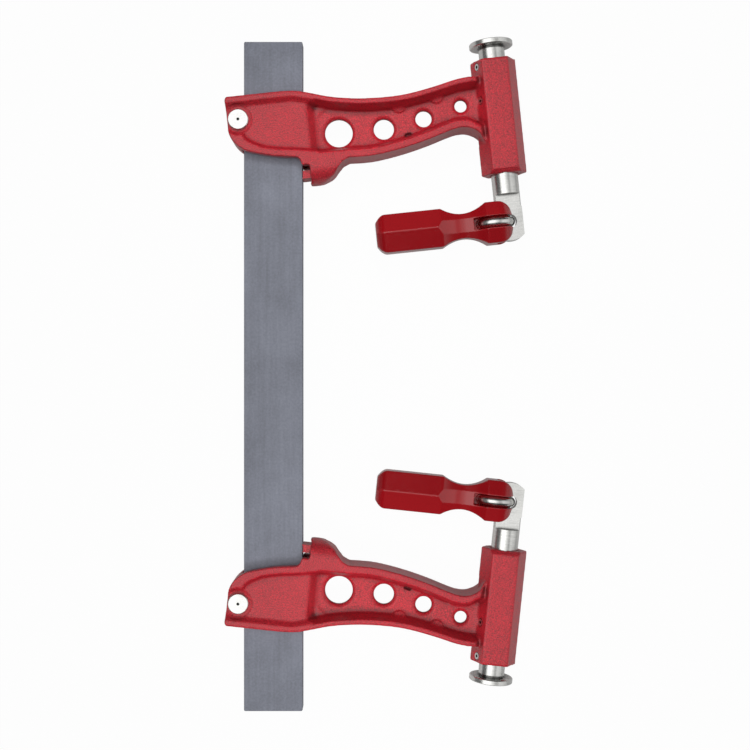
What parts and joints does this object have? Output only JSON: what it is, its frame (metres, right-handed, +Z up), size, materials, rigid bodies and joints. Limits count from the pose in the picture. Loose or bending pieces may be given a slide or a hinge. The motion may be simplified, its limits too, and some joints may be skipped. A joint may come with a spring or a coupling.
{
  "type": "reversible bar clamp",
  "caption": "Flat steel bar with opposed cast arms that slide and lock on it, each with a screw, a round pressure pad and a folding hexagonal handle; pads face outwards to spread.",
  "frame": {"origin": "centre of the bar's lower broad face", "axes": "+Y along the bar towards the upper jaw, +X from the bar towards the screws, +Z up through the bar's thickness"},
  "size_m": [0.1809, 0.4019, 0.0264],
  "materials": {
    "bar_steel": "dull grey, drawn along the bar",
    "red_casting": "red powder coat on a rough casting",
    "red_plastic": "dark red, smooth and slightly glossy",
    "zinc_steel": "bright zinc plating",
    "dark_steel": "darkened machined steel"
  },
  "bodies": {
    "bar": {"bar": "bar_steel"},
    "upper_slider": {"upper_rear_pin": "zinc_steel"},
    "upper_jaw": {"upper_arm": "red_casting", "upper_grip_insert": "red_casting", "upper_screw_nut": "dark_steel", "upper_grub_screws": "dark_steel"},
    "upper_presser": {"upper_pad": "zinc_steel"},
    "upper_spindle": {"upper_screw": "zinc_steel", "upper_pad_clip": "dark_steel"},
    "upper_grip": {"upper_handle": "red_plastic", "upper_handle_link": "zinc_steel"},
    "lower_slider": {"lower_rear_pin": "zinc_steel"},
    "lower_jaw": {"lower_arm": "red_casting", "lower_grip_insert": "red_casting", "lower_screw_nut": "dark_steel", "lower_grub_screws": "dark_steel"},
    "lower_presser": {"lower_pad": "zinc_steel"},
    "lower_spindle": {"lower_screw": "zinc_steel", "lower_pad_clip": "dark_steel"},
    "lower_grip": {"lower_handle": "red_plastic", "lower_handle_link": "zinc_steel"}
  },
  "joints": [
    {"name": "upper_jaw_slide", "type": "slide", "parent": "bar", "child": "upper_slider", "axis": [0, 1, 0], "range_m": [-0.054, 0.03]},
    {"name": "upper_jaw_rock", "type": "hinge", "parent": "upper_slider", "child": "upper_jaw", "pos_m": [-0.02055, 0.1528, 0.005], "axis": [0, 0, 1], "range_deg": [0, 3]},
    {"name": "upper_pad_travel", "type": "slide", "parent": "upper_jaw", "child": "upper_presser", "axis": [-0.1045, 0.9945, 0], "range_m": [-0.0076, 0.0091]},
    {"name": "upper_screw_turn", "type": "hinge", "parent": "upper_presser", "child": "upper_spindle", "pos_m": [0.1336, 0.169, 0.005], "axis": [-0.1045, 0.9945, 0], "range_deg": [-675, 810]},
    {"name": "upper_handle_fold", "type": "hinge", "parent": "upper_spindle", "child": "upper_grip", "pos_m": [0.14159, 0.09302, 0.005], "axis": [0, 0, 1], "range_deg": [0, 90]},
    {"name": "lower_jaw_slide", "type": "slide", "parent": "bar", "child": "lower_slider", "axis": [0, -1, 0], "range_m": [-0.054, 0.047]},
    {"name": "lower_jaw_rock", "type": "hinge", "parent": "lower_slider", "child": "lower_jaw", "pos_m": [-0.02055, -0.135, 0.005], "axis": [0, 0, -1], "range_deg": [0, 3]},
    {"name": "lower_pad_travel", "type": "slide", "parent": "lower_jaw", "child": "lower_presser", "axis": [-0.1045, -0.9945, 0], "range_m": [-0.0076, 0.0091]},
    {"name": "lower_screw_turn", "type": "hinge", "parent": "lower_presser", "child": "lower_spindle", "pos_m": [0.1336, -0.1512, 0.005], "axis": [-0.1045, -0.9945, 0], "range_deg": [-675, 810]},
    {"name": "lower_handle_fold", "type": "hinge", "parent": "lower_spindle", "child": "lower_grip", "pos_m": [0.14159, -0.07522, 0.005], "axis": [0, 0, -1], "range_deg": [0, 90]}
  ],
  "couplings": [
    {"joint": "upper_pad_travel", "follows": "upper_screw_turn", "m_per_rad": 0.00063662},
    {"joint": "lower_pad_travel", "follows": "lower_screw_turn", "m_per_rad": 0.00063662}
  ]
}
